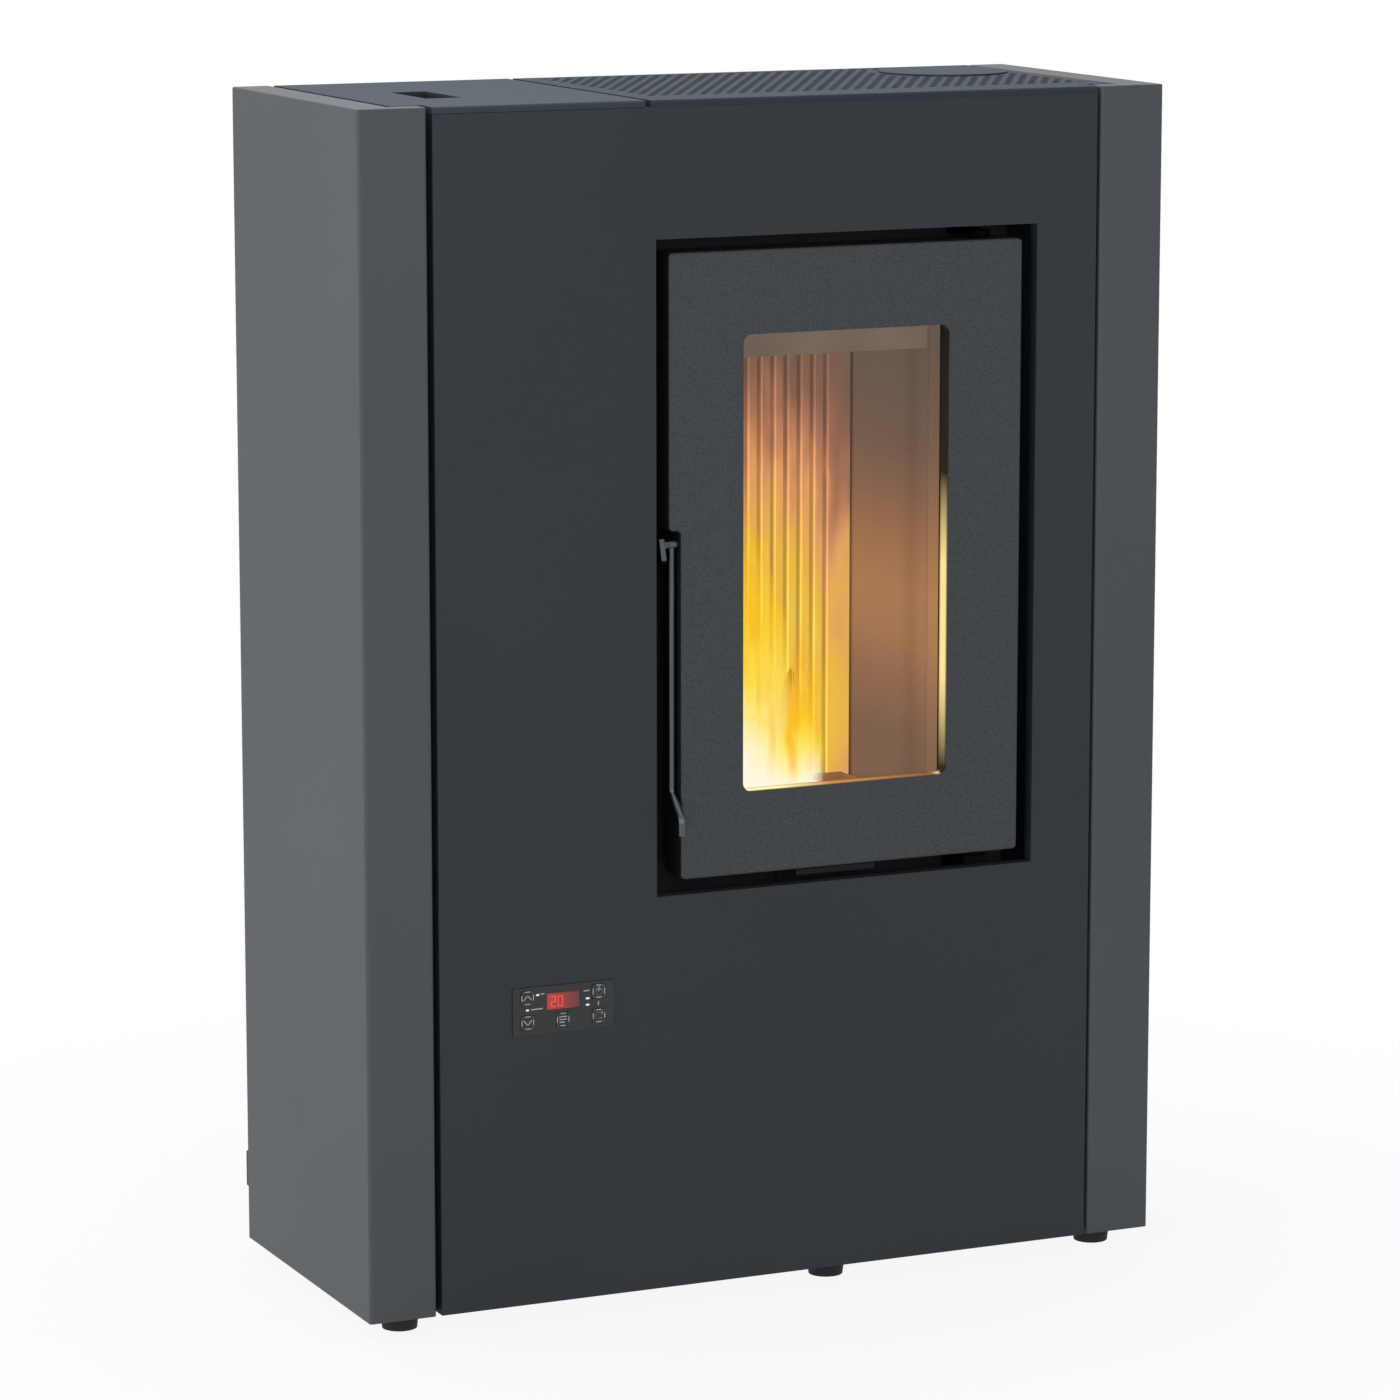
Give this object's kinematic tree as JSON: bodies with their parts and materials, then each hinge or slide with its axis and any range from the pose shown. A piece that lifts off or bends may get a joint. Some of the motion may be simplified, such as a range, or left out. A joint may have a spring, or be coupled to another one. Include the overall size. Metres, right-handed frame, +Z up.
{
  "type": "pellet stove",
  "caption": "Slim free-standing pellet stove with a glazed fire door, top pellet hopper under a hinged lid, perforated warm-air grille, control panel and rear flue.",
  "frame": {"origin": "under the middle of the bounding box, on the floor", "axes": "+Z up, +Y from the front (door side) to the back (flue side), +X to the right when facing the front"},
  "size_m": [0.745, 0.3616, 1.0375],
  "materials": {
    "panel_dark": "satin textured powder coat",
    "panel_side": "satin powder coat",
    "panel_top": "satin powder coat",
    "door_iron": "matt high-temperature paint",
    "black_steel": "matt high-temperature paint",
    "zinc_steel": "galvanised",
    "stainless": "satin",
    "cast_pot": "bare",
    "glass": "clear",
    "firebrick": "matt",
    "rope_seal": "braided",
    "sponge_seal": "matt",
    "rubber_black": "matt",
    "plastic_black": "matt",
    "panel_gloss": "gloss",
    "key_grey": "gloss",
    "screen": "gloss",
    "board_green": "satin",
    "motor_metal": "cast",
    "screw_zinc": "bright zinc"
  },
  "bodies": {
    "cabinet": {"base_plate": "zinc_steel", "feet": "rubber_black", "left_side_panel": "panel_side", "right_side_panel": "panel_side", "front_panel": "panel_dark", "front_bulkhead": "black_steel", "rear_panel": "zinc_steel", "top_deck": "black_steel", "top_grille": "panel_top", "flue_cover": "panel_top", "lid_hinge_pins": "black_steel", "hopper_gasket": "sponge_seal", "door_hinge_brackets": "black_steel", "latch_striker": "black_steel", "firebox": "black_steel", "back_liner": "firebrick", "side_liners": "firebrick", "baffle": "firebrick", "pot_seat": "black_steel", "igniter": "zinc_steel", "air_box": "zinc_steel", "sill_plate": "zinc_steel", "hopper": "zinc_steel", "auger_tube": "zinc_steel", "pellet_chute": "zinc_steel", "gearmotor": "motor_metal", "smoke_duct": "zinc_steel", "smoke_fan_housing": "zinc_steel", "smoke_fan_motor": "motor_metal", "flue_outlet": "zinc_steel", "room_fan_housing": "zinc_steel", "room_fan_motor": "motor_metal", "display_bezel": "panel_gloss", "display_screen": "screen", "control_board": "board_green", "main_board": "board_green", "power_inlet": "plastic_black", "pressure_switch": "plastic_black", "panel_screws": "screw_zinc"},
    "lid": {"hopper_lid": "panel_top", "lid_pull_cup": "black_steel", "lid_hinge_leaves": "black_steel"},
    "door": {"door_frame": "door_iron", "door_glass": "glass", "glass_gasket": "rope_seal", "glass_clips": "black_steel", "door_gasket": "rope_seal", "handle_pin": "screw_zinc"},
    "handle": {"door_handle": "stainless"},
    "drawer": {"ash_drawer": "black_steel"},
    "pot": {"burn_pot": "cast_pot"},
    "auger": {"auger_screw": "zinc_steel"},
    "smoke_wheel": {"smoke_fan_impeller": "zinc_steel"},
    "room_wheel": {"room_fan_rotor": "zinc_steel"},
    "rocker": {"power_switch": "panel_gloss"},
    "key_up_cap": {"key_up": "key_grey"},
    "key_down_cap": {"key_down": "key_grey"},
    "key_set_cap": {"key_set": "key_grey"},
    "key_power_cap": {"key_power": "key_grey"},
    "key_mode_cap": {"key_mode": "key_grey"}
  },
  "joints": [
    {"name": "door_hinge", "type": "hinge", "parent": "cabinet", "child": "door", "pos_m": [0.20454, -0.14515, 0.616], "axis": [0, 0, 1], "range_deg": [0, 100]},
    {"name": "handle_pivot", "type": "hinge", "parent": "door", "child": "handle", "pos_m": [-0.0899, -0.15515, 0.6614], "axis": [-1, 0, 0], "range_deg": [0, 30]},
    {"name": "lid_hinge", "type": "hinge", "parent": "cabinet", "child": "lid", "pos_m": [-0.1145, -0.02015, 1.0332], "axis": [0, 1, 0], "range_deg": [0, 80]},
    {"name": "drawer_slide", "type": "slide", "parent": "cabinet", "child": "drawer", "axis": [0, -1, 0], "range_m": [0, 0.1309]},
    {"name": "pot_lift", "type": "slide", "parent": "cabinet", "child": "pot", "axis": [0, 0, 1], "range_m": [0, 0.04]},
    {"name": "auger_spin", "type": "hinge", "parent": "cabinet", "child": "auger", "pos_m": [-0.1975, -0.01515, 0.536], "axis": [0.866, 0, 0.5], "continuous": true},
    {"name": "smoke_fan_spin", "type": "hinge", "parent": "cabinet", "child": "smoke_wheel", "pos_m": [0.2225, 0.00485, 0.285], "axis": [0, 0, 1], "continuous": true},
    {"name": "room_fan_spin", "type": "hinge", "parent": "cabinet", "child": "room_wheel", "pos_m": [0.0375, 0.04985, 0.106], "axis": [1, 0, 0], "continuous": true},
    {"name": "switch_rock", "type": "hinge", "parent": "cabinet", "child": "rocker", "pos_m": [-0.3577, 0.14485, 0.0765], "axis": [1, 0, 0], "range_deg": [0, 14]},
    {"name": "key_up_press", "type": "slide", "parent": "cabinet", "child": "key_up_cap", "axis": [0, 1, 0], "range_m": [0, 0.0004], "stiffness_N_per_m": 800},
    {"name": "key_down_press", "type": "slide", "parent": "cabinet", "child": "key_down_cap", "axis": [0, 1, 0], "range_m": [0, 0.0004], "stiffness_N_per_m": 800},
    {"name": "key_set_press", "type": "slide", "parent": "cabinet", "child": "key_set_cap", "axis": [0, 1, 0], "range_m": [0, 0.0004], "stiffness_N_per_m": 800},
    {"name": "key_power_press", "type": "slide", "parent": "cabinet", "child": "key_power_cap", "axis": [0, 1, 0], "range_m": [0, 0.0004], "stiffness_N_per_m": 800},
    {"name": "key_mode_press", "type": "slide", "parent": "cabinet", "child": "key_mode_cap", "axis": [0, 1, 0], "range_m": [0, 0.0004], "stiffness_N_per_m": 800}
  ],
  "couplings": [
    {"joint": "drawer_slide", "follows": "door_hinge", "m_per_rad": 0.075}
  ]
}
